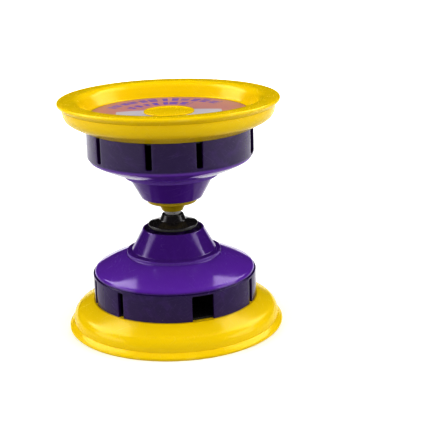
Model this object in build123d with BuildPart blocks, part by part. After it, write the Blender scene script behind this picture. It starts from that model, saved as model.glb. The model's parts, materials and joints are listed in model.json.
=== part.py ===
"""Five-bearing whistle diabolo: two slotted cups clamped on one axle bolt.

The spool stands on its lower lip. The origin is the middle of that lip's flat
face, +Z runs along the axle, and the middle plane lies at half the height.
Every cup piece is modelled for the lower cup, where its height above the lip
is simply z, and the upper cup is the mirror image in the middle plane.
"""
import os
from math import atan2, cos, radians, sin, tan

from build123d import *

# ---------------------------------------------------------------- driving sizes
HEAD_DIAMETER = 130.0       # widest point of either cup
OVERALL_HEIGHT = 138.6      # lip face to lip face
DRUM_RADIUS = 49.2          # slotted wall of the shell
SEAM_Z = 17.0               # yellow head meets the shell here
WALL = 2.2                  # moulded wall of bowl and shell
TOUCH = 0.02                # radial slack of a fixed fit, so that faces never overlap

MIDDLE = OVERALL_HEIGHT / 2
MIDDLE_PLANE = Plane.XY.offset(MIDDLE)
LIP_RADIUS = HEAD_DIAMETER / 2

# ---------------------------------------------------------------- dish cover
LIP_ROUND = 1.2             # rounding of the widest point
LIP_ROUND_ARC = 140.0
LIP_EDGE_RADIUS = 62.3      # outside edge that meets the bowl
LIP_EDGE_Z = 4.1
LIP_EDGE_ROUND = 0.15
LIP_FACE_OUTER = LIP_RADIUS - LIP_ROUND     # flat face that the spool stands on
LIP_FACE_INNER = 53.4       # corner before rounding
LIP_INNER_ROUND = 5.5
SLOPE_FOOT_RADIUS = 49.0
SLOPE_FOOT_ROUND = 1.8
DISH_FLOOR_Z = 9.0
COVER_WALL = 2.4
COVER_HOLE_RADIUS = 11.0
COLLAR_RADIUS = 13.4

# ---------------------------------------------------------------- head bowl
BOWL_RADIUS = 62.2
BOWL_EDGE_ROUND = 0.15      # with the lip's edge it makes a fine groove at the seam
BOWL_SPIGOT_RADIUS = 61.0   # rim that sits inside the dish cover's lip
BOWL_STRAIGHT_Z = 5.6       # straight rim below, curved brow above
BOWL_ROUND = 8.0
BOWL_ROUND_ARC = 62.0
PLATE_Z = SEAM_Z - WALL     # dish side of the plate that closes the chambers
WELL_RADIUS = 9.5
WELL_WALL = 2.3
WELL_FLOOR_Z = 23.5
WELL_FLOOR = 3.0

# ---------------------------------------------------------------- shell
DRUM_TOP_Z = 33.4
DRUM_LEDGE = 0.8
SHOULDER_ROUND = 3.2
SHOULDER_ROUND_ARC = 60.0
ROOF_SLANT = 1.08           # upright depth of the shoulder for its thickness
RING_RADIUS = 28.3
RING_Z = 44.2
RING_HEIGHT = 1.8
CONE_BASE_RADIUS = 25.2
CONE_BASE_Z = 46.8
MOUTH_OUTER_RADIUS = 18.5
MOUTH_INNER_RADIUS = 16.7
MOUTH_Z = 59.7
MOUTH_ROUND = 0.7
MOUTH_FLOOR_Z = 56.3        # hub side of the floor inside the mouth
MOUTH_FLOOR = 3.0
BOSS_TOP_Z = 59.3           # the boss on that floor carries the hub spacer
PILLAR_RADIUS = 6.4         # boss and pillar carry the clamping load
BOLT_PASSAGE = 2.7          # hole for the bolt in every plastic piece

# ---------------------------------------------------------------- chamber core
SOCKET_RADIUS = WELL_RADIUS + WELL_WALL + 0.3
SOCKET_WALL = 2.0
SEAT_Z = WELL_FLOOR_Z + WELL_FLOOR
SEAT_THICKNESS = 2.4
PARTITION = 1.6
BASE_PLATE = 1.2            # closes the chambers towards the bowl
CORE_PLAY = 0.05            # between the core and the shell round it

# whistle openings: bearings from a wide window, turning about +Z
WINDOW_WIDTH = 12.9
SLOT_WIDTH = 3.6
SLOT_TOP_Z = 31.9
SLOT_CORNER = 0.8
SLOT_BEARINGS = (46.5, 87.5, 121.0)
HALF_TURN = 180.0
LOWER_WINDOW_BEARING = -71.6
UPPER_WINDOW_BEARING = -12.0

# ---------------------------------------------------------------- label and snap cap
LABEL_RADIUS = 47.0
LABEL_HOLE_RADIUS = 12.2
LABEL_THICKNESS = 0.3
CAP_RADIUS = 14.8
CAP_EDGE = 0.9
CAP_CROWN = 0.6
CAP_CROWN_MIDWAY = (0.55, 0.72)     # share of the radius, and of the crown left there
CAP_SKIRT_RADIUS = 10.9
CAP_SKIRT_WALL = 1.5
CAP_SKIRT_LENGTH = 5.2
CAP_SLIT = 1.8
CAP_SLIT_COUNT = 4

# ---------------------------------------------------------------- hub covers and string sleeve
GROOVE_WIDTH = 2.6          # string groove between the two necks
NECK_Z = MIDDLE - GROOVE_WIDTH / 2
NECK_RADIUS = 6.3
NECK_BORE = 5.3
HUB_RADIUS = 14.8
HUB_BACK_Z = 60.3
HUB_EDGE_Z = 62.4
HUB_EDGE_ROUND = 0.6
HUB_BROW_Z = 64.3           # foot of the neck
HUB_BROW_RADIUS = 8.0
SLEEVE_RADIUS = 5.0
SLEEVE_LENGTH = 7.5
SLEEVE_CHAMFER = 0.2

# ---------------------------------------------------------------- M5 fasteners
BOLT_RADIUS = 2.45
BOLT_LENGTH = 100.0
BOLT_CHAMFER = 0.5
STEEL_BORE = 2.5            # bore of every steel piece on the bolt
ACROSS_FLATS = 8.0
HEAD_HEIGHT = 3.5
NUT_HEIGHT = 5.0
NUT_COLLAR_HEIGHT = 1.6
NUT_COLLAR_RADIUS = 3.7
WASHER_RADIUS = 7.5
WASHER_THICKNESS = 1.0
WASHER_Z = WELL_FLOOR_Z - WASHER_THICKNESS

# ---------------------------------------------------------------- ball bearings
# 5 x 13 x 4 in each hub, and three of 5 x 8 x 2.5 side by side in the sleeve.
HUB_BEARING = {
    "outer_radius": 6.5,
    "width": 4.0,
    "inner_land": 3.8,
    "outer_land": 5.2,
    "pitch_radius": 4.5,
    "ball_radius": 0.95,
    "ball_count": 8,
    "cage_wall": 0.6,
    "shield": 0.2,
}
SLEEVE_BEARING = {
    "outer_radius": 4.0,
    "width": 2.5,
    "inner_land": 3.0,
    "outer_land": 3.5,
    "pitch_radius": 3.25,
    "ball_radius": 0.45,
    "ball_count": 11,
    "cage_wall": 0.26,
    "shield": 0.12,
}
BALL_PLAY = 0.05            # between a ball and its groove or cage pocket
CAGE_OVERLAP = 0.3          # cage height past the balls
SHIELD_GAP = 0.1            # from a shield to the inner ring
SLEEVE_BEARING_COUNT = 3
HUB_SPACER_RADIUS = 3.6
INNER_SPACER_RADIUS = 3.0


# ---------------------------------------------------------------- helpers
def save(piece, name):
    """Label one finished piece and write it."""
    piece.part.label = name
    export_step(piece.part, f"parts/{name}.step")


def save_upper(piece, name):
    """Write the mirror image of a lower piece."""
    with BuildPart() as upper:
        mirror(piece.part, about=MIDDLE_PLANE)
    save(upper, name)


def save_pair(piece, kind):
    """Write the same piece for the lower and the upper cup."""
    save(piece, f"lower_{kind}")
    save_upper(piece, f"upper_{kind}")


def half_plane(bearing, height=0.0):
    """Sketch plane through the axle: x points outwards at the bearing, y points up."""
    outwards = Vector(cos(radians(bearing)), sin(radians(bearing)), 0)
    return Plane(origin=(0, 0, height), x_dir=outwards, z_dir=outwards.rotate(Axis.Z, -90))


def wall_plane(bearing, radius, height):
    """Sketch plane that faces outwards at the bearing: x runs round the wall, y points up."""
    outwards = Vector(cos(radians(bearing)), sin(radians(bearing)), 0)
    return Plane(
        origin=outwards * radius + Vector(0, 0, height),
        x_dir=outwards.rotate(Axis.Z, 90),
        z_dir=outwards,
    )


def make_ring(inner_radius, outer_radius, height, thickness, corner=0.0):
    """Flat ring that lies on the plane at the given height."""
    with BuildPart() as ring:
        with BuildSketch(Plane.XY.offset(height)):
            Circle(outer_radius)
            Circle(inner_radius, mode=Mode.SUBTRACT)
        extrude(amount=thickness)
        if corner:
            rims = ring.edges().filter_by(GeomType.CIRCLE)
            chamfer(rims.group_by(SortBy.RADIUS)[-1], corner)
    return ring


# ---------------------------------------------------------------- cups
def make_dish_cover():
    """Lip, inner slope, dish floor and the collar round the cap hole."""
    slope_angle = atan2(DISH_FLOOR_Z, LIP_FACE_INNER - SLOPE_FOOT_RADIUS)
    behind_slope = COVER_WALL * tan(slope_angle / 2)
    with BuildPart() as cover:
        with BuildSketch(half_plane(0)) as section:
            with BuildLine():
                front = Polyline(
                    (COVER_HOLE_RADIUS, DISH_FLOOR_Z),
                    (SLOPE_FOOT_RADIUS, DISH_FLOOR_Z),
                    (LIP_FACE_INNER, 0),
                    (LIP_FACE_OUTER, 0),
                )
                nose = JernArc(front @ 1, (1, 0), LIP_ROUND, LIP_ROUND_ARC)
                Polyline(
                    nose @ 1,
                    (LIP_EDGE_RADIUS, LIP_EDGE_Z),
                    (BOWL_SPIGOT_RADIUS + TOUCH, LIP_EDGE_Z),
                    (BOWL_SPIGOT_RADIUS + TOUCH, COVER_WALL),
                    (LIP_FACE_INNER + behind_slope, COVER_WALL),
                    (SLOPE_FOOT_RADIUS + behind_slope, DISH_FLOOR_Z + COVER_WALL),
                    (COLLAR_RADIUS, DISH_FLOOR_Z + COVER_WALL),
                    (COLLAR_RADIUS, PLATE_Z),
                    (COVER_HOLE_RADIUS, PLATE_Z),
                    front @ 0,
                )
            make_face()
            corners = section.vertices()
            fillet(corners.sort_by_distance((LIP_FACE_INNER, 0))[0], LIP_INNER_ROUND)
            corners = section.vertices()
            lip_back = corners.sort_by_distance((LIP_FACE_INNER + behind_slope, COVER_WALL))[0]
            fillet(lip_back, LIP_INNER_ROUND - COVER_WALL)
            corners = section.vertices()
            fillet(corners.sort_by_distance((SLOPE_FOOT_RADIUS, DISH_FLOOR_Z))[0], SLOPE_FOOT_ROUND)
            corners = section.vertices()
            fillet(corners.sort_by_distance((LIP_EDGE_RADIUS, LIP_EDGE_Z))[0], LIP_EDGE_ROUND)
        revolve(axis=Axis.Z)
    return cover


def make_head_bowl():
    """Curved outer ring, plate that closes the chambers, and the well for nut or bolt head."""
    with BuildPart() as bowl:
        with BuildSketch(half_plane(0)) as section:
            with BuildLine():
                outer_rim = Line((BOWL_RADIUS, LIP_EDGE_Z), (BOWL_RADIUS, BOWL_STRAIGHT_Z))
                outer_turn = JernArc(outer_rim @ 1, (0, 1), BOWL_ROUND, BOWL_ROUND_ARC)
                outer_brow = TangentArc(outer_turn @ 1, (DRUM_RADIUS, SEAM_Z), tangent=outer_turn % 1)
                well = Polyline(
                    outer_brow @ 1,
                    (WELL_RADIUS + WELL_WALL, SEAM_Z),
                    (WELL_RADIUS + WELL_WALL, SEAT_Z),
                    (BOLT_PASSAGE, SEAT_Z),
                    (BOLT_PASSAGE, WELL_FLOOR_Z),
                    (WELL_RADIUS, WELL_FLOOR_Z),
                    (WELL_RADIUS, PLATE_Z),
                    (DRUM_RADIUS - WALL / 2, PLATE_Z),
                )
                inner_rim = Line((BOWL_RADIUS - WALL, COVER_WALL), outer_rim @ 1 - (WALL, 0))
                inner_turn = JernArc(inner_rim @ 1, (0, 1), BOWL_ROUND - WALL, BOWL_ROUND_ARC)
                TangentArc(inner_turn @ 1, well @ 1, tangent=inner_turn % 1)
                Polyline(
                    inner_rim @ 0,
                    (BOWL_SPIGOT_RADIUS, COVER_WALL),
                    (BOWL_SPIGOT_RADIUS, LIP_EDGE_Z),
                    outer_rim @ 0,
                )
            make_face()
            corners = section.vertices()
            fillet(corners.sort_by_distance((BOWL_RADIUS, LIP_EDGE_Z))[0], BOWL_EDGE_ROUND)
        revolve(axis=Axis.Z)
    return bowl


def roof_points(depth):
    """Outline of the chambers' roof, the given depth below the shell's outer surface."""
    lean = atan2(MOUTH_Z - CONE_BASE_Z, CONE_BASE_RADIUS - MOUTH_OUTER_RADIUS)
    corner_radius = DRUM_RADIUS - (SHOULDER_ROUND + depth) / 2
    corner_z = DRUM_TOP_Z + SHOULDER_ROUND - ROOF_SLANT * depth
    cone_base = CONE_BASE_RADIUS - depth / sin(lean)
    roof_z = MOUTH_FLOOR_Z - MOUTH_FLOOR
    return [
        (DRUM_RADIUS - depth, SEAM_Z),
        (DRUM_RADIUS - depth, DRUM_TOP_Z),
        (corner_radius, corner_z),
        (RING_RADIUS, RING_Z - depth),
        (cone_base, CONE_BASE_Z - depth / 2),
        (cone_base - (roof_z - CONE_BASE_Z) / tan(lean), roof_z),
    ]


def opening_bearings(window_bearing):
    """Bearings of the eight whistle openings, a window first in each half turn."""
    half_pattern = (0.0, *SLOT_BEARINGS)
    return [window_bearing + start + step for start in (0.0, HALF_TURN) for step in half_pattern]


def make_shell(window_bearing):
    """Slotted drum, shoulder, ring, cone, and the mouth with its floor and boss."""
    with BuildPart() as shell:
        with BuildSketch(half_plane(0)):
            with BuildLine():
                drum = Line((DRUM_RADIUS, SEAM_Z), (DRUM_RADIUS, DRUM_TOP_Z))
                ledge = Line(drum @ 1, drum @ 1 - (DRUM_LEDGE, 0))
                turn = JernArc(ledge @ 1, (0, 1), SHOULDER_ROUND, SHOULDER_ROUND_ARC)
                shoulder = TangentArc(turn @ 1, (RING_RADIUS, RING_Z), tangent=turn % 1)
                cone = Polyline(
                    shoulder @ 1,
                    (RING_RADIUS, RING_Z + RING_HEIGHT),
                    (CONE_BASE_RADIUS, CONE_BASE_Z),
                    (MOUTH_OUTER_RADIUS, MOUTH_Z - MOUTH_ROUND),
                )
                rim = ThreePointArc(
                    cone @ 1,
                    ((MOUTH_OUTER_RADIUS + MOUTH_INNER_RADIUS) / 2, MOUTH_Z),
                    (MOUTH_INNER_RADIUS, MOUTH_Z - MOUTH_ROUND),
                )
                Polyline(
                    rim @ 1,
                    (MOUTH_INNER_RADIUS, MOUTH_FLOOR_Z),
                    (PILLAR_RADIUS, MOUTH_FLOOR_Z),
                    (PILLAR_RADIUS, BOSS_TOP_Z),
                    (BOLT_PASSAGE, BOSS_TOP_Z),
                    (BOLT_PASSAGE, MOUTH_FLOOR_Z - MOUTH_FLOOR),
                    *reversed(roof_points(WALL)),
                    drum @ 0,
                )
            make_face()
        revolve(axis=Axis.Z)
        for number, bearing in enumerate(opening_bearings(window_bearing)):
            is_window = number % (len(SLOT_BEARINGS) + 1) == 0
            width = WINDOW_WIDTH if is_window else SLOT_WIDTH
            with BuildSketch(wall_plane(bearing, DRUM_RADIUS - 2 * WALL, SEAM_Z)) as opening:
                Rectangle(width, SLOT_TOP_Z - SEAM_Z, align=(Align.CENTER, Align.MIN))
                fillet(opening.vertices().group_by(Axis.Y)[-1], SLOT_CORNER)
            extrude(amount=3 * WALL, mode=Mode.SUBTRACT)
    return shell


def make_chamber_core(window_bearing):
    """Base plate, socket round the well, pillar round the bolt, and walls between eight chambers."""
    bearings = opening_bearings(window_bearing)
    following = bearings[1:] + [bearings[0] + 2 * HALF_TURN]
    socket_outer = SOCKET_RADIUS + SOCKET_WALL
    plate_radius = DRUM_RADIUS - WALL - CORE_PLAY
    pillar_top_z = MOUTH_FLOOR_Z - MOUTH_FLOOR
    with BuildPart() as core:
        with BuildSketch(half_plane(0)):
            with BuildLine():
                Polyline(
                    (BOLT_PASSAGE, SEAT_Z),
                    (SOCKET_RADIUS, SEAT_Z),
                    (SOCKET_RADIUS, SEAM_Z),
                    (plate_radius, SEAM_Z),
                    (plate_radius, SEAM_Z + BASE_PLATE),
                    (socket_outer, SEAM_Z + BASE_PLATE),
                    (socket_outer, SEAT_Z + SEAT_THICKNESS),
                    (PILLAR_RADIUS, SEAT_Z + SEAT_THICKNESS),
                    (PILLAR_RADIUS, pillar_top_z),
                    (BOLT_PASSAGE, pillar_top_z),
                    close=True,
                )
            make_face()
        revolve(axis=Axis.Z)
        for bearing, next_bearing in zip(bearings, following):
            with BuildSketch(half_plane((bearing + next_bearing) / 2)):
                with BuildLine():
                    Polyline(
                        (socket_outer - SOCKET_WALL / 2, SEAM_Z),
                        *roof_points(WALL + CORE_PLAY),
                        (PILLAR_RADIUS - WALL / 2, pillar_top_z),
                        (PILLAR_RADIUS - WALL / 2, SEAT_Z + SEAT_THICKNESS / 2),
                        (socket_outer - SOCKET_WALL / 2, SEAT_Z + SEAT_THICKNESS / 2),
                        close=True,
                    )
                make_face()
            extrude(amount=PARTITION / 2, both=True)
    return core


def make_label():
    """Thin printed disc glued to the dish floor."""
    return make_ring(LABEL_HOLE_RADIUS, LABEL_RADIUS, DISH_FLOOR_Z - LABEL_THICKNESS, LABEL_THICKNESS)


def make_snap_cap():
    """Crowned disc with a slit skirt that snaps into the dish cover's hole."""
    back_z = DISH_FLOOR_Z - LABEL_THICKNESS
    front_z = back_z - CAP_EDGE
    skirt_bore = CAP_SKIRT_RADIUS - CAP_SKIRT_WALL
    skirt_z = back_z + CAP_SKIRT_LENGTH
    along, left = CAP_CROWN_MIDWAY
    with BuildPart() as cap:
        with BuildSketch(half_plane(0)):
            with BuildLine():
                crown = ThreePointArc(
                    (0, front_z - CAP_CROWN),
                    (CAP_RADIUS * along, front_z - CAP_CROWN * left),
                    (CAP_RADIUS - CAP_EDGE / 2, front_z),
                )
                edge = TangentArc(crown @ 1, (CAP_RADIUS, front_z + CAP_EDGE / 2), tangent=crown % 1)
                Polyline(
                    edge @ 1,
                    (CAP_RADIUS, back_z),
                    (CAP_SKIRT_RADIUS, back_z),
                    (CAP_SKIRT_RADIUS, skirt_z),
                    (skirt_bore, skirt_z),
                    (skirt_bore, back_z),
                    (0, back_z),
                    crown @ 0,
                )
            make_face()
        revolve(axis=Axis.Z)
        with BuildSketch(Plane.XY.offset(back_z + CAP_EDGE)):
            with PolarLocations(CAP_SKIRT_RADIUS, CAP_SLIT_COUNT):
                Rectangle(3 * CAP_SKIRT_WALL, CAP_SLIT)
        extrude(amount=CAP_SKIRT_LENGTH, mode=Mode.SUBTRACT)
    return cap


# ---------------------------------------------------------------- hubs and axle
def make_hub_cover():
    """Disc with a hollow neck; its pocket holds the hub bearing and it turns freely."""
    pocket_radius = HUB_BEARING["outer_radius"]
    with BuildPart() as hub:
        with BuildSketch(half_plane(0)) as section:
            with BuildLine():
                Polyline(
                    (pocket_radius, HUB_BACK_Z),
                    (HUB_RADIUS, HUB_BACK_Z),
                    (HUB_RADIUS, HUB_EDGE_Z),
                    (HUB_BROW_RADIUS, HUB_BROW_Z),
                    (NECK_RADIUS, NECK_Z),
                    (NECK_BORE, NECK_Z),
                    (NECK_BORE, HUB_BROW_Z),
                    (pocket_radius, HUB_BROW_Z),
                    close=True,
                )
            make_face()
            corners = section.vertices()
            fillet(corners.sort_by_distance((HUB_RADIUS, HUB_EDGE_Z))[0], HUB_EDGE_ROUND)
            corners = section.vertices()
            fillet(corners.sort_by_distance((HUB_BROW_RADIUS, HUB_BROW_Z))[0], 2 * HUB_EDGE_ROUND)
            corners = section.vertices()
            fillet(corners.sort_by_distance((NECK_RADIUS, NECK_Z))[0], HUB_EDGE_ROUND / 2)
            corners = section.vertices()
            fillet(corners.sort_by_distance((HUB_RADIUS, HUB_BACK_Z))[0], HUB_EDGE_ROUND / 2)
        revolve(axis=Axis.Z)
    return hub


def make_string_sleeve():
    """Steel tube that the string runs on."""
    low = MIDDLE - SLEEVE_LENGTH / 2
    return make_ring(SLEEVE_BEARING["outer_radius"], SLEEVE_RADIUS, low, SLEEVE_LENGTH, SLEEVE_CHAMFER)


def make_axle_bolt():
    """M5 x 100 hexagon bolt: head in the upper cup, end through the nut in the lower one."""
    head_z = OVERALL_HEIGHT - WASHER_Z
    with BuildPart() as bolt:
        with BuildSketch(Plane.XY.offset(head_z - BOLT_LENGTH)):
            Circle(BOLT_RADIUS)
        extrude(amount=BOLT_LENGTH)
        chamfer(bolt.faces().sort_by(Axis.Z)[0].edges(), BOLT_CHAMFER)
        with BuildSketch(Plane.XY.offset(head_z)):
            RegularPolygon(ACROSS_FLATS / 2, 6, major_radius=False)
        extrude(amount=HEAD_HEIGHT)
    return bolt


def make_lock_nut():
    """M5 lock nut: hexagon against the washer, round collar with the plastic insert outside."""
    with BuildPart() as nut:
        with BuildSketch(Plane.XY.offset(WASHER_Z - NUT_HEIGHT)):
            Circle(NUT_COLLAR_RADIUS)
        extrude(amount=NUT_COLLAR_HEIGHT)
        with BuildSketch(Plane.XY.offset(WASHER_Z - NUT_HEIGHT + NUT_COLLAR_HEIGHT)):
            RegularPolygon(ACROSS_FLATS / 2, 6, major_radius=False)
        extrude(amount=NUT_HEIGHT - NUT_COLLAR_HEIGHT)
        with BuildSketch(Plane.XY.offset(WASHER_Z)):
            Circle(STEEL_BORE)
        extrude(amount=-NUT_HEIGHT, mode=Mode.SUBTRACT)
    return nut


# ---------------------------------------------------------------- ball bearings
def make_bearing(spec, middle_z):
    """The five kinds of piece in one shielded ball bearing, by kind."""
    width = spec["width"]
    pitch = spec["pitch_radius"]
    groove_radius = spec["ball_radius"] + BALL_PLAY
    cage_height = 2 * (spec["ball_radius"] + CAGE_OVERLAP)
    shield = spec["shield"]
    shield_seat = spec["outer_land"] + shield
    plane = half_plane(0, middle_z)

    with BuildPart() as inner_ring:
        with BuildSketch(plane):
            with Locations(((STEEL_BORE + spec["inner_land"]) / 2, 0)):
                Rectangle(spec["inner_land"] - STEEL_BORE, width)
            with Locations((pitch, 0)):
                Circle(groove_radius, mode=Mode.SUBTRACT)
        revolve(axis=Axis.Z)

    with BuildPart() as outer_ring:
        outside = spec["outer_radius"] - TOUCH
        with BuildSketch(plane):
            with Locations(((outside + spec["outer_land"]) / 2, 0)):
                Rectangle(outside - spec["outer_land"], width)
            with Locations((pitch, 0)):
                Circle(groove_radius, mode=Mode.SUBTRACT)
            with Locations((spec["outer_land"], width / 2), (spec["outer_land"], -width / 2)):
                Rectangle(2 * shield, 2 * shield, mode=Mode.SUBTRACT)
        revolve(axis=Axis.Z)

    with BuildPart() as balls:
        with Locations((0, 0, middle_z)):
            with PolarLocations(pitch, spec["ball_count"]):
                Sphere(spec["ball_radius"])

    with BuildPart() as cage:
        with BuildSketch(Plane.XY.offset(middle_z)):
            Circle(pitch + spec["cage_wall"] / 2)
            Circle(pitch - spec["cage_wall"] / 2, mode=Mode.SUBTRACT)
        extrude(amount=cage_height / 2, both=True)
        for number in range(spec["ball_count"]):
            bearing = number * 2 * HALF_TURN / spec["ball_count"]
            with BuildSketch(wall_plane(bearing, pitch - spec["cage_wall"], middle_z)):
                Circle(groove_radius)
            extrude(amount=2 * spec["cage_wall"], mode=Mode.SUBTRACT)

    with BuildPart() as shields:
        for base_z in (middle_z - width / 2, middle_z + width / 2 - shield + TOUCH):
            with BuildSketch(Plane.XY.offset(base_z)):
                Circle(shield_seat - TOUCH)
                Circle(spec["inner_land"] + SHIELD_GAP, mode=Mode.SUBTRACT)
            extrude(amount=shield - TOUCH)

    return {
        "inner_ring": inner_ring,
        "outer_ring": outer_ring,
        "balls": balls,
        "cage": cage,
        "shields": shields,
    }


# ---------------------------------------------------------------- build and write
os.makedirs("parts", exist_ok=True)

save_pair(make_dish_cover(), "dish_cover")
save_pair(make_head_bowl(), "head_bowl")
save_pair(make_label(), "label")
save_pair(make_snap_cap(), "snap_cap")
save(make_shell(LOWER_WINDOW_BEARING), "lower_shell")
save_upper(make_shell(UPPER_WINDOW_BEARING), "upper_shell")
save(make_chamber_core(LOWER_WINDOW_BEARING), "lower_chamber_core")
save_upper(make_chamber_core(UPPER_WINDOW_BEARING), "upper_chamber_core")

save_pair(make_hub_cover(), "hub_cover")
save_pair(make_ring(STEEL_BORE, WASHER_RADIUS, WASHER_Z, WASHER_THICKNESS), "washer")
save(make_axle_bolt(), "axle_bolt")
save(make_lock_nut(), "lock_nut")

hub_gap = HUB_BACK_Z - BOSS_TOP_Z
save_pair(make_ring(STEEL_BORE, HUB_SPACER_RADIUS, BOSS_TOP_Z, hub_gap), "hub_spacer")
hub_bearing_top = HUB_BACK_Z + HUB_BEARING["width"]
inner_gap = MIDDLE - SLEEVE_LENGTH / 2 - hub_bearing_top
save_pair(make_ring(STEEL_BORE, INNER_SPACER_RADIUS, hub_bearing_top, inner_gap), "inner_spacer")

for kind, piece in make_bearing(HUB_BEARING, HUB_BACK_Z + HUB_BEARING["width"] / 2).items():
    save_pair(piece, f"hub_bearing_{kind}")

save(make_string_sleeve(), "string_sleeve")
for number in range(SLEEVE_BEARING_COUNT):
    bearing_z = MIDDLE + (number - 1) * SLEEVE_BEARING["width"]
    for kind, piece in make_bearing(SLEEVE_BEARING, bearing_z).items():
        save(piece, f"sleeve_bearing_{number + 1}_{kind}")
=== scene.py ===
"""Looks for the five-bearing whistle diabolo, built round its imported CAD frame.

Sizes, outline points and texture coordinates are in millimetres; the meshes, the stage and the lights
are in metres. Cup pieces are drawn once as (radius, height above the lip face) for the lower cup and
mirrored for the upper one.
"""

import json
from math import acos, asin, atan2, ceil, cos, degrees, dist, hypot, pi, radians, sin, tan

import bmesh
import bpy
from mathutils import Matrix, Vector


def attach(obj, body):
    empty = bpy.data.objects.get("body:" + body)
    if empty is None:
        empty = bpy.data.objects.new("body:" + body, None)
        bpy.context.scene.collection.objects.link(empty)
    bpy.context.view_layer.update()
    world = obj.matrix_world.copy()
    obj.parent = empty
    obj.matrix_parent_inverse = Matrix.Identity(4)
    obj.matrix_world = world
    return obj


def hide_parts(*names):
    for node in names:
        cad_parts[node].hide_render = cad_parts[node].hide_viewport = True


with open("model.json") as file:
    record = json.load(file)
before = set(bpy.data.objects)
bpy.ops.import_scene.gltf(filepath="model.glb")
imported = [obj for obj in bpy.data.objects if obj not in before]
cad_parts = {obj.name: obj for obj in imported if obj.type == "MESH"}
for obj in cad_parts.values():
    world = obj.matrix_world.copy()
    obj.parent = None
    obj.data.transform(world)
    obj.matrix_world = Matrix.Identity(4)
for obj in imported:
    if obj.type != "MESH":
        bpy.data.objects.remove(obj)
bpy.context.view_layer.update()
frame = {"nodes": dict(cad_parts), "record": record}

MM = 0.001
ENDS = ("lower", "upper")
SEGMENTS = 192
CREASE = radians(30)                    # edges that turn more than this stay crisp

# ---------------------------------------------------------------- shared sizes
HEIGHT = 138.6
MIDDLE = HEIGHT / 2
NOSE_CENTRE, NOSE_RADIUS = 63.8, 1.2    # the lip's rounded outer edge
HEAD_RADIUS = NOSE_CENTRE + NOSE_RADIUS
LIP_CORNER, LIP_ROUNDING = 53.4, 5.5    # the lip face turns into the slope
FLOOR_CORNER, DISH_FLOOR = 49.0, 9.0    # the slope turns into the dish floor
COVER_WALL = 2.4
LABEL_FACE, LABEL_RADIUS = 8.7, 47.0
LIP_STEP = 4.1                          # parting step between lip and bowl
PLATE_FACE, SEAM = 14.8, 17.0           # closing plate of the head; the shell stands on it
DRUM_OUTSIDE, DRUM_INSIDE = 49.2, 47.0
SLOT_TOP = 31.9
DRUM_TOP = 33.4                         # the shoulder starts here
RING_RADIUS, RING_FOOT, RING_TOP = 28.3, 44.2, 46.0
AXLE_BORE = 2.7
HUB_FOOT, HUB_RADIUS = 60.3, 14.8
NECK_TOP = 68.0


# ---------------------------------------------------------------- outlines
def arc(centre, radius, start, end, step=10.0):
    """Points on an arc between two angles in degrees, both ends included."""
    count = max(2, ceil(abs(end - start) / step))
    angles = [radians(start + (end - start) * k / count) for k in range(count + 1)]
    return [(centre[0] + radius * cos(a), centre[1] + radius * sin(a)) for a in angles]


def heading(angle):
    """Direction in which an anticlockwise arc leaves this angle in degrees."""
    return (-sin(radians(angle)), cos(radians(angle)))


def tangent_arc(start, direction, end, step=4.0):
    """Arc that leaves start in the given direction and arrives at end."""
    direction = Vector(direction).normalized()
    normal = Vector((-direction.y, direction.x))
    chord = Vector(end) - Vector(start)
    radius = chord.length_squared / (2 * chord.dot(normal))
    centre = Vector(start) + normal * radius
    begin = atan2(start[1] - centre.y, start[0] - centre.x)
    finish = atan2(end[1] - centre.y, end[0] - centre.x)
    turn = (finish - begin) % (2 * pi)
    if radius < 0:
        turn -= 2 * pi
    return arc(centre, abs(radius), degrees(begin), degrees(begin + turn), step)


def rounded(corners, closed=False, step=15.0):
    """Outline through (radius, height) corners; a third number is that corner's rounding."""
    points = []
    count = len(corners)
    for index, corner in enumerate(corners):
        here = Vector(corner[:2])
        size = corner[2] if len(corner) > 2 else 0
        if not size or (not closed and index in (0, count - 1)):
            points.append(tuple(here))
            continue
        back = (Vector(corners[index - 1][:2]) - here).normalized()
        ahead = (Vector(corners[(index + 1) % count][:2]) - here).normalized()
        half = acos(max(-1.0, min(1.0, back.dot(ahead)))) / 2
        reach = size / tan(half)
        centre = here + (back + ahead).normalized() * (size / sin(half))
        first = here + back * reach - centre
        last = here + ahead * reach - centre
        begin = degrees(atan2(first.y, first.x))
        turn = (degrees(atan2(last.y, last.x)) - begin + 180) % 360 - 180
        points += arc(centre, size, begin, begin + turn, step)
    return points


# ---------------------------------------------------------------- meshes
def spot(radius, height, angle):
    """Place in metres of a point at this angle round the axle."""
    return (radius * cos(angle) * MM, radius * sin(angle) * MM, height * MM)


def placed(name, mesh, material):
    """Object of a finished mesh with its one material, linked to the scene."""
    data = bpy.data.meshes.new(name)
    mesh.to_mesh(data)
    mesh.free()
    data.materials.append(material)
    thing = bpy.data.objects.new(name, data)
    bpy.context.scene.collection.objects.link(thing)
    return thing


def finish_piece(node, mesh, end, body, slot, crease=CREASE):
    """Mirror for the upper cup, shade, bind to its body and stand in for the CAD node."""
    if end == "upper":
        for vertex in mesh.verts:
            vertex.co.z = HEIGHT * MM - vertex.co.z
        bmesh.ops.reverse_faces(mesh, faces=mesh.faces)
    for edge in mesh.edges:
        edge.smooth = len(edge.link_faces) == 2 and edge.calc_face_angle(0) < crease
    for face in mesh.faces:
        face.smooth = True
    piece = placed(f"{node}_skin", mesh, MATERIALS[slot])
    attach(piece, body)
    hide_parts(node)


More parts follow.
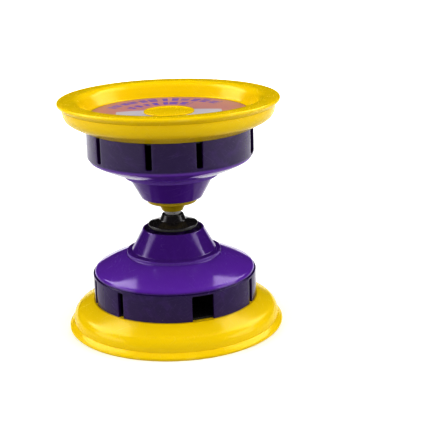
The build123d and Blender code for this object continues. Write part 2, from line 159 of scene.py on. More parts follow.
def lathed(outline, closed=True, segments=SEGMENTS):
    """Mesh of an outline turned round the axle, with a single point where it meets the axle."""
    mesh = bmesh.new()
    turns = [2 * pi * k / segments for k in range(segments)]
    rings = []
    for radius, height in outline:
        angles = turns if radius >= 1e-6 else [0.0]
        rings.append([mesh.verts.new(spot(radius, height, angle)) for angle in angles])
    pairs = list(zip(rings, rings[1:]))
    if closed:
        pairs.append((rings[-1], rings[0]))
    for one, other in pairs:
        if len(one) == 1 and len(other) == 1:
            continue
        for k in range(segments):
            n = (k + 1) % segments
            corners = []
            for ring, order in ((one, (k, n)), (other, (n, k))):
                corners += ring if len(ring) == 1 else [ring[i] for i in order]
            mesh.faces.new(corners)
    bmesh.ops.recalc_face_normals(mesh, faces=mesh.faces)
    return mesh


# ---------------------------------------------------------------- material shorthand
class Surface:
    """One procedural material; its texture coordinates are millimetres in the part's rest frame."""

    def __init__(self, name, roughness, metallic=0.0, ior=1.5):
        self.material = bpy.data.materials.new(name)
        self.material.use_nodes = True
        self.tree = self.material.node_tree
        self.shader = next(n for n in self.tree.nodes if n.type == "BSDF_PRINCIPLED")
        self.shader.inputs["Roughness"].default_value = roughness
        self.shader.inputs["Metallic"].default_value = metallic
        self.shader.inputs["IOR"].default_value = ior
        self.normal = None
        place = self.node("ShaderNodeTexCoord").outputs["Object"]
        self.point = self.vector("SCALE", place, scale=1 / MM)
        apart = self.node("ShaderNodeSeparateXYZ", self.point)
        self.x, self.y, self.z = apart.outputs
        flat = self.vector("MULTIPLY", self.point, (1, 1, 0))
        self.radius = self.vector("LENGTH", flat, result="Value")
        from_middle = self.math("ABSOLUTE", self.minus(self.z, MIDDLE))
        self.depth = self.minus(MIDDLE, from_middle)        # height above the nearer lip face
        self.outwards = self.vector("NORMALIZE", flat)

    def node(self, kind, *values, **settings):
        """New node; values feed its inputs in order, and a None leaves one alone."""
        node = self.tree.nodes.new(kind)
        for key, value in settings.items():
            setattr(node, key, value)
        for socket, value in zip(node.inputs, values):
            self.feed(socket, value)
        return node

    def feed(self, socket, value):
        if value is None:
            return
        if isinstance(value, bpy.types.NodeSocket):
            self.tree.links.new(value, socket)
        else:
            socket.default_value = value

    def math(self, operation, *values):
        return self.node("ShaderNodeMath", *values, operation=operation).outputs[0]

    def plus(self, one, other):
        return self.math("ADD", one, other)

    def minus(self, one, other):
        return self.math("SUBTRACT", one, other)

    def times(self, one, other):
        return self.math("MULTIPLY", one, other)

    def larger(self, one, other):
        return self.math("MAXIMUM", one, other)

    def vector(self, operation, *values, scale=None, result="Vector"):
        node = self.node("ShaderNodeVectorMath", *values, operation=operation)
        if scale is not None:
            self.feed(node.inputs["Scale"], scale)
        return node.outputs[result]

    def span(self, value, low, high, to_low=0.0, to_high=1.0, smooth=True):
        """Value mapped from low..high to another range, held at both ends."""
        node = self.node("ShaderNodeMapRange", value, low, high, to_low, to_high)
        node.interpolation_type = "SMOOTHSTEP" if smooth else "LINEAR"
        return node.outputs[0]

    def band(self, value, low, high, soft):
        """One between low and high, falling to nothing over the soft margin."""
        rise = self.span(value, low - soft, low + soft)
        fall = self.span(value, high - soft, high + soft, 1.0, 0.0)
        return self.times(rise, fall)

    def noise(self, scale, detail=3.0, place=None, rough=0.55, distortion=0.0):
        """Noise with about this many blobs per millimetre."""
        node = self.node("ShaderNodeTexNoise")
        self.feed(node.inputs["Vector"], place or self.point)
        self.feed(node.inputs["Scale"], scale)
        self.feed(node.inputs["Detail"], detail)
        self.feed(node.inputs["Roughness"], rough)
        self.feed(node.inputs["Distortion"], distortion)
        return node.outputs[0]

    def round_lines(self, fine, along=1.5):
        """Coordinates for marks that run round the axle: fine across, slow along the turn."""
        slow = self.vector("SCALE", self.outwards, scale=along)
        path = self.plus(self.radius, self.times(self.depth, 1.31))
        lift = self.node("ShaderNodeCombineXYZ", 0.0, 0.0, self.times(path, fine)).outputs[0]
        return self.vector("ADD", slow, lift)

    def scratches(self, seed, length, width, amount):
        """Sparse hairlines in one direction, one where there is a line."""
        turned = self.node("ShaderNodeVectorRotate", self.point, rotation_type="EULER_XYZ")
        turned.inputs["Rotation"].default_value = (seed * 1.7, seed * 2.9, seed * 0.83)
        drawn = self.vector("MULTIPLY", turned.outputs[0], (1 / length, 1 / width, 1 / length))
        lines = self.noise(1.0, 1.0, place=drawn, distortion=0.35)
        return self.span(lines, 1 - amount, 1.02 - amount)

    def mix(self, share, one, other):
        node = self.node("ShaderNodeMix", data_type="RGBA")
        self.feed(node.inputs["Factor"], share)
        a, b = [s for s in node.inputs if s.type == "RGBA"]
        self.feed(a, one if isinstance(one, bpy.types.NodeSocket) else (*one, 1.0))
        self.feed(b, other if isinstance(other, bpy.types.NodeSocket) else (*other, 1.0))
        return next(s for s in node.outputs if s.type == "RGBA")

    def bump(self, height, depth_mm, strength):
        """Add relief of this depth on top of the relief already there."""
        node = self.node("ShaderNodeBump")
        self.feed(node.inputs["Strength"], strength)
        self.feed(node.inputs["Distance"], depth_mm * MM)
        self.feed(node.inputs["Height"], height)
        self.feed(node.inputs["Normal"], self.normal)
        self.normal = node.outputs[0]

    def glow(self, strength):
        """White light of the surface's own."""
        self.feed(self.shader.inputs["Emission Color"], (1.0, 1.0, 1.0, 1.0))
        self.feed(self.shader.inputs["Emission Strength"], strength)

    def finish(self, colour=None, roughness=None):
        self.feed(self.shader.inputs["Base Color"], colour)
        self.feed(self.shader.inputs["Roughness"], roughness)
        self.feed(self.shader.inputs["Normal"], self.normal)
        return self.material


# ---------------------------------------------------------------- plastics and print
def scuffed(s, colour, base_roughness, worn_colour, wear):
    """Hairlines, smudges and wear shared by the moulded plastics; returns colour and roughness."""
    lines = s.larger(s.scratches(1.0, 9.0, 0.16, 0.30), s.scratches(2.3, 7.0, 0.13, 0.29))
    lines = s.larger(lines, s.scratches(4.1, 12.0, 0.20, 0.29))
    smudge = s.span(s.noise(0.055, 4.0, distortion=0.6), 0.42, 0.68)
    dust = s.span(s.noise(2.3, 1.0), 0.770, 0.790)
    colour = s.mix(s.times(lines, 0.22), colour, worn_colour)
    colour = s.mix(s.times(dust, 0.35), colour, (0.62, 0.60, 0.56))
    colour = s.mix(wear, colour, worn_colour)
    rough = s.plus(base_roughness, s.times(smudge, 0.07))
    rough = s.plus(rough, s.times(lines, 0.16))
    rough = s.plus(rough, s.times(wear, 0.30))
    s.bump(s.noise(0.12, 2.0), 0.010, 0.5)
    s.bump(s.noise(4.5, 2.0), 0.0012, 0.5)
    s.bump(lines, -0.004, 0.6)
    return colour, rough


def yellow_plastic():
    s = Surface("yellow_plastic", 0.26, ior=1.31)
    tone = s.noise(0.035, 3.0)
    colour = s.mix(tone, (0.87, 0.635, 0.0008), (0.90, 0.665, 0.0015))
    streak = s.noise(1.0, 3.0, place=s.round_lines(0.9))
    colour = s.mix(s.span(streak, 0.35, 0.75, 0.0, 0.25), colour, (0.86, 0.61, 0.001))
    # painted shade: the yellow is darkened, a little unevenly, on the hub cover, which sits under the
    # cone
    darkening = s.times(s.span(s.depth, 58.5, HUB_FOOT + 0.2), s.span(tone, 0.2, 0.8, 0.7, 1.0))
    colour = s.mix(darkening, colour, (0.38, 0.28, 0.004))
    # painted shade in the groove where the drum stands on the head
    seam_shade = s.times(s.band(s.depth, SEAM - 0.6, SEAM + 0.4, 0.4),
                   s.band(s.radius, DRUM_OUTSIDE - 0.3, DRUM_OUTSIDE + 0.7, 0.3))
    colour = s.mix(s.times(seam_shade, 0.55), colour, (0.30, 0.15, 0.004))
    # wear on the outermost edge and, half as much, on the face that it stands on
    edge = s.times(s.span(s.radius, HEAD_RADIUS - 0.5, HEAD_RADIUS),
                   s.span(s.noise(0.12, 5.0), 0.50, 0.66))
    foot = s.times(s.span(s.depth, 0.25, 0.0), s.span(s.noise(0.10, 5.0), 0.52, 0.68))
    wear = s.times(s.larger(edge, s.times(foot, 0.5)), 0.25)
    colour, rough = scuffed(s, colour, 0.17, (0.93, 0.74, 0.16), wear)
    return s.finish(colour, rough)


def violet_plastic():
    """Violet with painted light and shade: a shaded copy, nearly black, on the drum, and a lit copy,
    brightest, on the shoulder.
    """
    s = Surface("violet_plastic", 0.12, ior=1.45)
    tone = s.noise(0.03, 3.0, distortion=0.4)
    # painted light and shade: lit, shaded and in-between copies of the one violet, for the shoulder,
    # the drum and the cone
    shoulder = s.mix(tone, (0.172, 0.046, 0.420), (0.192, 0.054, 0.470))
    drum = s.mix(tone, (0.025, 0.002, 0.080), (0.033, 0.004, 0.100))
    cone = s.mix(tone, (0.095, 0.020, 0.240), (0.108, 0.024, 0.275))
    # the painted shade turns from the lit shoulder to the shaded drum at the shoulder's start, and to
    # the cone inside the ring
    colour = s.mix(s.span(s.depth, DRUM_TOP - 0.2, DRUM_TOP + 1.6, 1.0, 0.0), shoulder, drum)
    colour = s.mix(s.span(s.radius, RING_RADIUS - 1.3, RING_RADIUS + 1.7, 1.0, 0.0), colour, cone)
    flow = s.noise(0.09, 5.0, distortion=1.2)
    colour = s.mix(s.span(flow, 0.5, 0.72, 0.0, 0.18), colour, (0.14, 0.04, 0.36))
    # wear on the ring's edge and round the mouth
    ring = s.times(s.band(s.radius, RING_RADIUS - 0.4, RING_RADIUS + 0.4, 0.25),
                   s.span(s.noise(0.8, 4.0), 0.45, 0.65))
    mouth = s.times(s.span(s.depth, 59.2, 59.6), s.span(s.noise(0.6, 4.0), 0.42, 0.66))
    wear = s.times(s.larger(ring, mouth), 0.10)
    colour, rough = scuffed(s, colour, 0.09, (0.24, 0.16, 0.46), wear)
    return s.finish(colour, rough)


def black_plastic():
    s = Surface("black_plastic", 0.12, ior=1.5)
    colour = s.mix(s.noise(0.05, 3.0), (0.020, 0.018, 0.020), (0.030, 0.026, 0.029))
    # wear on the disc's edge and at the neck's end, where the string rubs
    rim = s.times(s.band(s.radius, HUB_RADIUS - 0.5, HUB_RADIUS + 0.1, 0.3),
                  s.span(s.noise(0.9, 4.0), 0.48, 0.66))
    neck = s.times(s.span(s.depth, NECK_TOP - 0.8, NECK_TOP - 0.1),
                   s.span(s.noise(1.1, 4.0), 0.40, 0.60))
    wear = s.times(s.larger(rim, neck), 0.5)
    colour, rough = scuffed(s, colour, 0.12, (0.10, 0.095, 0.09), wear)
    return s.finish(colour, rough)


def printed_label():
    """Salmon ring with two arcs of dashes and a pale half disc: a plain stand-in for the print."""
    s = Surface("printed_label", 0.42, ior=1.36)
    fade = s.noise(0.04, 4.0)
    paper = s.mix(s.span(s.y, -40.0, 45.0), (0.52, 0.240, 0.225), (0.54, 0.262, 0.29))
    paper = s.mix(s.span(fade, 0.35, 0.7, 0.0, 0.4), paper, (0.60, 0.35, 0.34))
    angle = s.math("ARCTAN2", s.y, s.x)

    def dashes(low, high, count, first, last, shift):
        """One arc of short strokes of uneven length between two radii."""
        steps = s.times(angle, count / (2 * pi))
        cell = s.math("FLOOR", steps)
        draw = s.node("ShaderNodeTexWhiteNoise", noise_dimensions="1D")
        s.feed(draw.inputs["W"], s.plus(cell, shift))
        chance = draw.outputs[0]
        along = s.math("FRACT", steps)
        wide = s.span(chance, 0.0, 1.0, 0.50, 0.96, smooth=False)
        dash = s.times(s.span(along, 0.05, 0.10), s.math("LESS_THAN", along, wide))
        middle = (low + high) / 2
        shortest = (high - low) / 2 - 1.5
        extra = s.times(s.math("FRACT", s.times(chance, 7.31)), 1.6)
        off = s.minus(s.math("ABSOLUTE", s.minus(s.radius, middle)), extra)
        inside = s.span(off, shortest - 0.2, shortest + 0.2, 1.0, 0.0)
        gap = s.band(s.radius, middle - 0.35, middle + 0.35, 0.15)
        split = s.times(gap, s.math("GREATER_THAN", chance, 0.45))
        from_centre = s.math("ABSOLUTE", s.minus(angle, (first + last) / 2))
        arc_part = s.band(from_centre, -1.0, (last - first) / 2, 0.01)
        mark = s.times(s.times(dash, inside), arc_part)
        return s.times(mark, s.minus(1.0, split))

    outer = dashes(33.8, 42.2, 36, radians(38), radians(158), 3.0)
    inner = dashes(22.4, 30.2, 28, radians(60), radians(150), 31.0)
    ink = s.mix(s.noise(0.5, 2.0), (0.09, 0.04, 0.60), (0.16, 0.07, 0.62))
    colour = s.mix(s.times(s.larger(outer, inner), 0.9), paper, ink)
    # pale half disc towards the front, with a slightly arched edge
    arch = s.plus(s.y, s.times(s.times(s.x, s.x), 1 / 260))
    pale = s.times(s.span(arch, 7.1, 7.5, 1.0, 0.0), s.span(s.radius, 30.8, 31.2, 1.0, 0.0))
    colour = s.mix(pale, colour, (0.58, 0.55, 0.62))
    border = s.span(s.radius, LABEL_RADIUS - 0.8, LABEL_RADIUS - 0.5)
    colour = s.mix(s.times(border, 0.75), colour, (0.16, 0.05, 0.09))
    lines = s.larger(s.scratches(1.4, 8.0, 0.16, 0.30), s.scratches(3.2, 6.0, 0.14, 0.29))
    colour = s.mix(s.times(lines, 0.25), colour, (0.75, 0.62, 0.55))
    s.bump(s.noise(0.12, 3.0), 0.03, 0.6)
    s.bump(s.noise(3.0, 2.0), 0.003, 0.5)
    rough = s.plus(s.span(fade, 0.3, 0.7, 0.36, 0.48), s.times(lines, 0.15))
    return s.finish(colour, rough)


# ---------------------------------------------------------------- metals
def turned_metal(name, colour, dull, base_roughness, fine, darkening):
    """Metal with fine lines round the axle and a share of grime; returns it unfinished."""
    s = Surface(name, base_roughness, metallic=1.0)
    lines = s.noise(1.0, 4.0, place=s.round_lines(fine), rough=0.7)
    broad = s.noise(0.4, 3.0)
    tone = s.mix(lines, dull, colour)
    dirt = s.span(s.noise(0.9, 5.0, distortion=0.5), 0.52, 0.74, 0.0, darkening)
    tone = s.mix(dirt, tone, (0.05, 0.045, 0.04))
    rough = s.plus(base_roughness, s.times(lines, 0.12))
    rough = s.plus(rough, s.times(broad, 0.06))
    rough = s.plus(rough, s.times(dirt, 0.35))
    s.bump(lines, 0.004, 0.6)
    s.bump(s.noise(2.5, 3.0), 0.003, 0.4)
    return s, tone, rough


def sleeve_steel():
    # painted shade: the steel is given a very dark colour, far darker than the bearing steel, standing
    # for the shade and dark reflections between the two hubs
    s, tone, rough = turned_metal("sleeve_steel", (0.22, 0.215, 0.21), (0.14, 0.135, 0.13),
                                  0.24, 6.0, 0.35)
    # the string polishes a track in the middle
    track = s.band(s.z, MIDDLE - 1.0, MIDDLE + 1.0, 0.4)
    rough = s.minus(rough, s.times(track, 0.10))
    return s.finish(tone, rough)


def bearing_steel():
    s, tone, rough = turned_metal("bearing_steel", (0.68, 0.68, 0.69), (0.55, 0.55, 0.56),
                                  0.10, 9.0, 0.15)
    return s.finish(tone, rough)


def zinc_steel():
    s, tone, rough = turned_metal("zinc_steel", (0.62, 0.63, 0.65), (0.48, 0.49, 0.50),
                                  0.26, 3.0, 0.35)
    spangle = s.noise(1.3, 5.0, distortion=1.0)
    s.bump(spangle, 0.01, 0.4)
    tone = s.mix(s.span(spangle, 0.4, 0.7, 0.0, 0.35), tone, (0.70, 0.70, 0.66))
    return s.finish(tone, rough)


def cage_brass():
    s, tone, rough = turned_metal("cage_brass", (0.72, 0.50, 0.20), (0.55, 0.36, 0.13),
                                  0.24, 5.0, 0.3)
    return s.finish(tone, rough)


MATERIALS = {
    "yellow_plastic": yellow_plastic(),
    "violet_plastic": violet_plastic(),
    "black_plastic": black_plastic(),
    "printed_label": printed_label(),
    "sleeve_steel": sleeve_steel(),
    "bearing_steel": bearing_steel(),
    "zinc_steel": zinc_steel(),
    "cage_brass": cage_brass(),
}


# ---------------------------------------------------------------- cup pieces
def dish_cover(end):
    """Lip, slope and dish floor, with the collar that the snap cap grips."""
    slope_half = atan2(DISH_FLOOR, LIP_CORNER - FLOOR_CORNER) / 2
    behind = COVER_WALL * tan(slope_half)
    lip_inside, inside = 61.02, DISH_FLOOR + COVER_WALL
    collar_bore, collar_radius = 11.0, 13.4
    front = rounded([(collar_bore, DISH_FLOOR), (FLOOR_CORNER, DISH_FLOOR, 1.8),
                     (LIP_CORNER, 0.0, LIP_ROUNDING), (NOSE_CENTRE, 0.0)])
    nose = arc((NOSE_CENTRE, NOSE_RADIUS), NOSE_RADIUS, -90, 50, 14)
    back = rounded([nose[-1], (62.3, LIP_STEP, 0.15), (lip_inside, LIP_STEP), (lip_inside, COVER_WALL),
                    (LIP_CORNER + behind, COVER_WALL, LIP_ROUNDING - COVER_WALL),
                    (FLOOR_CORNER + behind, inside), (collar_radius, inside),
                    (collar_radius, PLATE_FACE, 0.3), (collar_bore, PLATE_FACE, 0.3),
                    (collar_bore, DISH_FLOOR + 0.3)])
    mesh = lathed(front[:-1] + nose[:-1] + back)
    finish_piece(f"{end}_dish_cover", mesh, end, "cups", "yellow_plastic")


def head_bowl(end):
    """Curved outer ring, plate under the chambers and the well."""
    centre, outside, inside = (54.2, 5.6), 8.0, 5.8
    turn_end = 62                       # degrees; the outline goes on towards the seam from here
    rim_radius, widest = 61.0, centre[0] + outside
    plate_edge, well_outside, well_inside = 48.1, 11.8, 9.5
    well_top, well_floor = 26.5, 23.5   # its closed end and the face for the bolt head or nut
    rim = rounded([(rim_radius, COVER_WALL), (rim_radius, LIP_STEP), (widest, LIP_STEP, 0.15),
                   (widest, centre[1])])
    turn = arc(centre, outside, 0, turn_end, 4)
    brow = tangent_arc(turn[-1], heading(turn_end), (DRUM_OUTSIDE, SEAM), 0.5)
    brow = [point for point in brow[1:-1] if point[0] > DRUM_OUTSIDE + 0.7]
    inner_turn = arc(centre, inside, turn_end, 0, 6)
    inner_brow = tangent_arc(inner_turn[0], heading(turn_end), (plate_edge, PLATE_FACE), 1)
    # from the seam's groove over the plate, up the well's outside and down its inside
    plate = rounded([(DRUM_OUTSIDE + 0.6, SEAM - 0.28), (DRUM_OUTSIDE, SEAM, 0.25),
                     (DRUM_OUTSIDE - 0.2, SEAM - 0.15), (DRUM_OUTSIDE - 0.4, SEAM),
                     (well_outside, SEAM), (well_outside, well_top, 0.3),
                     (AXLE_BORE, well_top), (AXLE_BORE, well_floor), (well_inside, well_floor, 0.6),
                     (well_inside, PLATE_FACE, 0.4), (plate_edge, PLATE_FACE)])
    outline = rim[:-1] + turn + brow + plate[1:] + inner_brow[::-1][1:] + inner_turn[1:]
    outline.append((centre[0] + inside, COVER_WALL))
    finish_piece(f"{end}_head_bowl", lathed(outline), end, "cups", "yellow_plastic")


def snap_cap(end):
    """Crowned disc with its slit skirt."""
    cap_radius = 14.8
    skirt_outside, skirt_inside, skirt_foot = 10.9, 9.4, 9.6
    crown = [(0.0, 7.2), (3.0, 7.21), (6.0, 7.27), (8.14, 7.37), (10.5, 7.5), (12.6, 7.66),
             (14.0, 7.79)]
    edge = rounded([crown[-1], (14.75, 7.93, 0.4), (cap_radius, LABEL_FACE, 0.1),
                    (skirt_outside, LABEL_FACE)])
    under = [(skirt_outside, skirt_foot), (skirt_inside, skirt_foot), (skirt_inside, LABEL_FACE),
             (0.0, LABEL_FACE)]
    mesh = lathed(crown + edge[1:] + under, closed=False)
    profile = ((skirt_outside, skirt_foot), (skirt_outside, 13.6), (10.7, 13.9), (9.7, 13.9),
               (skirt_inside, 13.6), (skirt_inside, skirt_foot))
    steps, half_turn = 12, 40.3         # four tongues, each 80.6 degrees wide
    for tongue in range(4):
        middle = tongue * 90 + 45
        low, high = middle - half_turn, middle + half_turn
        rings = []
        for k in range(steps + 1):
            angle = radians(low + (high - low) * k / steps)
            rings.append([mesh.verts.new(spot(radius, height, angle)) for radius, height in profile])
        for one, other in zip(rings, rings[1:]):
            for i in range(len(profile)):
                j = (i + 1) % len(profile)
                mesh.faces.new((one[i], one[j], other[j], other[i]))
        mesh.faces.new(rings[0][::-1])
        mesh.faces.new(rings[-1])
    bmesh.ops.recalc_face_normals(mesh, faces=mesh.faces)
    finish_piece(f"{end}_snap_cap", mesh, end, "cups", "yellow_plastic")


def label(end):
    """Thin printed ring on the dish floor."""
    bore, radius = 12.2, LABEL_RADIUS
    outline = rounded([(bore, LABEL_FACE, 0.06), (radius, LABEL_FACE, 0.12), (radius, DISH_FLOOR),
                       (bore, DISH_FLOOR)], closed=True, step=30)
    finish_piece(f"{end}_label", lathed(outline), end, "cups", "printed_label")


def hub_cover(end):
    """Disc with the hollow neck that the string guides on."""
    bore, neck_bore, inside = 6.5, 5.3, 64.3
    outline = rounded([(bore, HUB_FOOT), (HUB_RADIUS, HUB_FOOT, 0.3), (HUB_RADIUS, 62.4, 0.6),
                       (8.0, 64.3, 1.2), (6.3, NECK_TOP, 0.3), (neck_bore, NECK_TOP, 0.15),
                       (neck_bore, inside), (bore, inside)], closed=True, step=12)
    slot = "yellow_plastic" if end == "upper" else "black_plastic"
    finish_piece(f"{end}_hub_cover", lathed(outline), end, f"{end}_hub", slot, crease=radians(24))


# ---------------------------------------------------------------- slotted shells
SHELL_WALL = (DRUM_OUTSIDE, DRUM_INSIDE)
COLUMN_STEP = radians(1.9)              # between the drum's vertical rows of points
# one window and three slots fill half a turn; bearings are in degrees from the window's middle
HALF_WIDTHS = (6.45, 1.8, 1.8, 1.8)
BEARINGS = (0.0, 46.5, 87.5, 121.0)
WINDOW_BEARING = {"lower": -71.6, "upper": -12.0}


def drum_columns(end):
    """Rows of points round the drum: angle outside, angle inside, whether an opening follows."""
    openings = []
    for half_turn in (0, 180):
        for bearing, half in zip(BEARINGS, HALF_WIDTHS):
            openings.append((radians((WINDOW_BEARING[end] + bearing + half_turn) % 360), half))
    openings.sort()
    columns = []
    for number, (middle, half) in enumerate(openings):
        spread = [asin(half / radius) for radius in SHELL_WALL]
        steps = max(2, round(2 * spread[0] / COLUMN_STEP))
        for k in range(steps):
            share = 2 * k / steps - 1
            columns.append((middle + share * spread[0], middle + share * spread[1], True))
        follow, next_half = openings[(number + 1) % len(openings)]
        if number == len(openings) - 1:
            follow += 2 * pi
        stop = [follow - asin(next_half / radius) for radius in SHELL_WALL]
        start = [middle + value for value in spread]
        steps = max(3, round((stop[0] - start[0]) / COLUMN_STEP))
        for k in range(steps):
            columns.append((start[0] + (stop[0] - start[0]) * k / steps,
                            start[1] + (stop[1] - start[1]) * k / steps, False))
    return columns


def shell_outline():
    """Points up the outside and over the mouth, then points down the inside."""
    mouth_in, seat, boss, boss_top = 16.7, 56.3, 6.4, 59.3
    turn = arc((45.2, DRUM_TOP), 3.2, 0, 60, 7.5)
    shoulder = tangent_arc(turn[-1], heading(60), (RING_RADIUS, RING_FOOT), 1.2)
    outer = [(DRUM_OUTSIDE, SEAM), (DRUM_OUTSIDE, SLOT_TOP)]
    outer += arc((DRUM_OUTSIDE - 0.3, DRUM_TOP - 0.3), 0.3, 0, 90, 30)
    outer += turn + shoulder[1:-1]
    outer += rounded([shoulder[-2], (RING_RADIUS, RING_FOOT, 0.35), (RING_RADIUS, RING_TOP, 0.45),
                      (25.2, 46.8, 0.7), (18.5, 59.0)])[1:]
    outer += arc((17.6, 58.8), 0.9, 13, 167, 22)[1:] + [(mouth_in, 58.8), (mouth_in, seat + 0.4)]
    outer += rounded([(mouth_in, seat + 0.4), (mouth_in, seat, 0.3), (boss, seat, 0.3),
                      (boss, boss_top, 0.2), (AXLE_BORE, boss_top)])[1:]
    outer = [point for k, point in enumerate(outer) if k == 0 or dist(point, outer[k - 1]) > 0.02]
    inner = [(AXLE_BORE, 53.3), (19.34, 53.3), (22.72, 45.7), (RING_RADIUS, 42.0), (46.5, 34.22),
             (DRUM_INSIDE, DRUM_TOP), (DRUM_INSIDE, SLOT_TOP), (DRUM_INSIDE, SEAM)]
    return outer, inner


def shell(end):
    """Drum, shoulder, ring and cone, with two windows and six slots cut up from the drum's foot."""
    columns = drum_columns(end)
    outer, inner = shell_outline()
    mesh = bmesh.new()
    rings = []
    for skin, outline in enumerate((outer, inner)):
        for radius, height in outline:
            rings.append([mesh.verts.new(spot(radius, height, column[skin])) for column in columns])
    count = len(columns)
    drum_in = len(rings) - 2
    for index, low in enumerate(rings):
        high = rings[(index + 1) % len(rings)]
        cut = index in (0, drum_in, len(rings) - 1)         # drum outside, drum inside, foot
        for k in range(count):
            if cut and columns[k][2]:
                continue
            n = (k + 1) % count
            mesh.faces.new((low[k], low[n], high[n], high[k]))
    # the openings' tops and sides
    foot_out, top_out, top_in, foot_in = rings[0], rings[1], rings[drum_in], rings[-1]
    rims = []
    for k in range(count):
        n = (k + 1) % count
        if not columns[k][2]:
            continue
        mesh.faces.new((top_out[k], top_out[n], top_in[n], top_in[k]))
        if not columns[k - 1][2]:
            mesh.faces.new((foot_out[k], top_out[k], top_in[k], foot_in[k]))
            rims.append((top_out[k], top_in[k]))
        if not columns[n][2]:
            mesh.faces.new((foot_out[n], top_out[n], top_in[n], foot_in[n]))
            rims.append((top_out[n], top_in[n]))
    bmesh.ops.recalc_face_normals(mesh, faces=mesh.faces)
    # round the openings' upper corners, then break their sharp edges
    corners = [mesh.edges.get(pair) for pair in rims]
    bmesh.ops.bevel(mesh, geom=corners, offset=0.8 * MM, segments=4, profile=0.5, affect="EDGES")
    sharp = []
    for edge in mesh.edges:
        if len(edge.link_faces) != 2 or edge.calc_face_angle(0) < radians(60):
            continue
        spots = [(hypot(v.co.x, v.co.y) / MM, v.co.z / MM) for v in edge.verts]
        in_wall = all(DRUM_INSIDE - 0.2 < r < DRUM_OUTSIDE + 0.2 and h < SLOT_TOP + 0.3
                      for r, h in spots)
        if in_wall and any(h > SEAM + 0.2 for r, h in spots):
            sharp.append(edge)
    bmesh.ops.bevel(mesh, geom=sharp, offset=0.22 * MM, segments=2, profile=0.5, affect="EDGES")
    finish_piece(f"{end}_shell", mesh, end, "cups", "violet_plastic")


# ---------------------------------------------------------------- string sleeve
def string_sleeve():
    """Plain turned tube; its finish shows where the string runs."""
    bore, radius, half_length = 4.0, 5.0, 3.75
    low, high = MIDDLE - half_length, MIDDLE + half_length
    outline = rounded([(bore, low, 0.1), (radius, low, 0.22), (radius, high, 0.22),
                       (bore, high, 0.1)], closed=True, step=30)
    finish_piece("string_sleeve", lathed(outline, segments=128), "lower", "sleeve", "sleeve_steel")


for end in ENDS:
    dish_cover(end)
    head_bowl(end)
    snap_cap(end)
    label(end)
    shell(end)
    hub_cover(end)
string_sleeve()

# the pieces that keep their CAD mesh get the same procedural finishes
slot_of = {entry["node"]: entry["material_slot"] for entry in frame["record"]["subparts"]}
for name, node in frame["nodes"].items():
    if name in slot_of:
        node.data.materials.clear()
        node.data.materials.append(MATERIALS[slot_of[name]])


# ---------------------------------------------------------------- stage, lights and camera
FLOOR_REACH = 9.0
WALL_RADIUS, WALL_HEIGHT, WALL_SIDES = 8.8, 6.0, 96
SPOOL_MIDDLE = (0, 0, 0.07)


def pale_tone(s):
    return s.mix(s.noise(0.01, 3.0), (0.86, 0.86, 0.86), (0.89, 0.89, 0.89))


def pale_floor():
    """Plain floor that glows more away from the spool, so that it fades to white."""
    s = Surface("pale_floor", 0.75)
    tone = pale_tone(s)
    aside = s.span(s.math("ABSOLUTE", s.x), 160.0, 380.0)
    behind = s.span(s.y, 250.0, 600.0)
    s.glow(s.span(s.larger(aside, behind), 0.0, 1.0, 0.20, 0.8, smooth=False))
    mesh = bmesh.new()
    corners = ((-1, -1), (1, -1), (1, 1), (-1, 1))
    mesh.faces.new([mesh.verts.new((x * FLOOR_REACH, y * FLOOR_REACH, 0.0)) for x, y in corners])
    floor = placed("pale_floor", mesh, s.finish(tone))
    floor.visible_diffuse = False


def pale_wall():
    """Round wall near the floor's edge, so that low views have a pale background."""
    s = Surface("pale_wall", 0.8)
    s.glow(0.9)
    mesh = bmesh.new()
    turns = [2 * pi * k / WALL_SIDES for k in range(WALL_SIDES)]
    low, high = [[mesh.verts.new((WALL_RADIUS * cos(t), WALL_RADIUS * sin(t), z)) for t in turns]
                 for z in (0.0, WALL_HEIGHT)]
    for k in range(WALL_SIDES):
        n = (k + 1) % WALL_SIDES
        mesh.faces.new((low[n], low[k], high[k], high[n]))
    wall = placed("pale_wall", mesh, s.finish(pale_tone(s)))
    wall.visible_diffuse = False
    wall.visible_glossy = False
    wall.visible_shadow = False


def softbox(name, bearing, elevation, distance, size, radiance, target=SPOOL_MIDDLE,
            diffuse=True, glossy=True):
    """Area light aimed at the target; bearings run from the camera side towards the viewer's right."""
    light = bpy.data.lights.new(name, "AREA")
    light.shape = "RECTANGLE"
    light.size, light.size_y = size
    light.energy = radiance * pi * size[0] * size[1]
    a, e = radians(bearing), radians(elevation)
    place = Vector((sin(a) * cos(e), -cos(a) * cos(e), sin(e))) * distance + Vector(target)
    holder = bpy.data.objects.new(name, light)
    holder.visible_camera = False
    holder.visible_diffuse = diffuse
    holder.visible_glossy = glossy
    holder.location = place
    holder.rotation_euler = (Vector(target) - place).to_track_quat("-Z", "Y").to_euler()
    bpy.context.scene.collection.objects.link(holder)


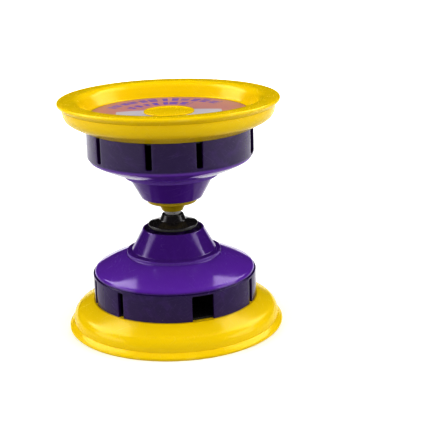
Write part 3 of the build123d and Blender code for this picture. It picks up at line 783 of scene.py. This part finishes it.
pale_floor()
pale_wall()
softbox("left_softbox", -80, 15, 1.3, (0.9, 0.60), 4.0)
softbox("right_softbox", 76, 15, 1.3, (0.8, 0.60), 4.5)
# these two only make the sheen on the shoulders and heads
softbox("left_high_softbox", -112, 43, 1.3, (0.85, 0.85), 6.5, diffuse=False)
softbox("right_high_softbox", 112, 43, 1.3, (0.85, 0.85), 6.0, diffuse=False)
# these only fill, and leave no reflection
softbox("top_softbox", 0, 84, 1.3, (1.7, 0.6), 2.3, glossy=False)
softbox("front_softbox", 0, 18, 1.4, (1.4, 0.6), 1.2, glossy=False)
softbox("backdrop_softbox", 180, 40, 4.0, (4.0, 3.0), 4.0, target=(0, 3.0, 0), glossy=False)

world = bpy.data.worlds.new("studio")
world.use_nodes = True
background = next(n for n in world.node_tree.nodes if n.type == "BACKGROUND")
background.inputs["Color"].default_value = (1.0, 1.0, 1.0, 1.0)
background.inputs["Strength"].default_value = 0.57
bpy.context.scene.world = world
world.cycles_visibility.glossy = False

FOCAL_PIXELS = 1128.6
IMAGE_PIXELS = 430.0
PITCH, ROLL, YAW = radians(16.35), radians(-1.50), radians(2.23)
CAMERA_BACK, CAMERA_HEIGHT = 0.6505, 0.2569
forward = Vector((sin(YAW) * cos(PITCH), cos(YAW) * cos(PITCH), -sin(PITCH)))
level = Vector((cos(YAW), -sin(YAW), 0))
upright = level.cross(forward)
right = level * cos(ROLL) + upright * sin(ROLL)
up = upright * cos(ROLL) - level * sin(ROLL)
lens = bpy.data.cameras.new("camera")
lens.sensor_width = 36.0
lens.lens = lens.sensor_width * FOCAL_PIXELS / IMAGE_PIXELS
lens.clip_start, lens.clip_end = 0.01, 60.0
camera = bpy.data.objects.new("camera", lens)
camera.matrix_world = Matrix((
    (right.x, up.x, -forward.x, 0.0),
    (right.y, up.y, -forward.y, -CAMERA_BACK),
    (right.z, up.z, -forward.z, CAMERA_HEIGHT),
    (0, 0, 0, 1),
))
bpy.context.scene.collection.objects.link(camera)
bpy.context.scene.camera = camera
bpy.context.scene.view_settings.view_transform = "Standard"
bpy.context.scene.view_settings.gamma = 0.70
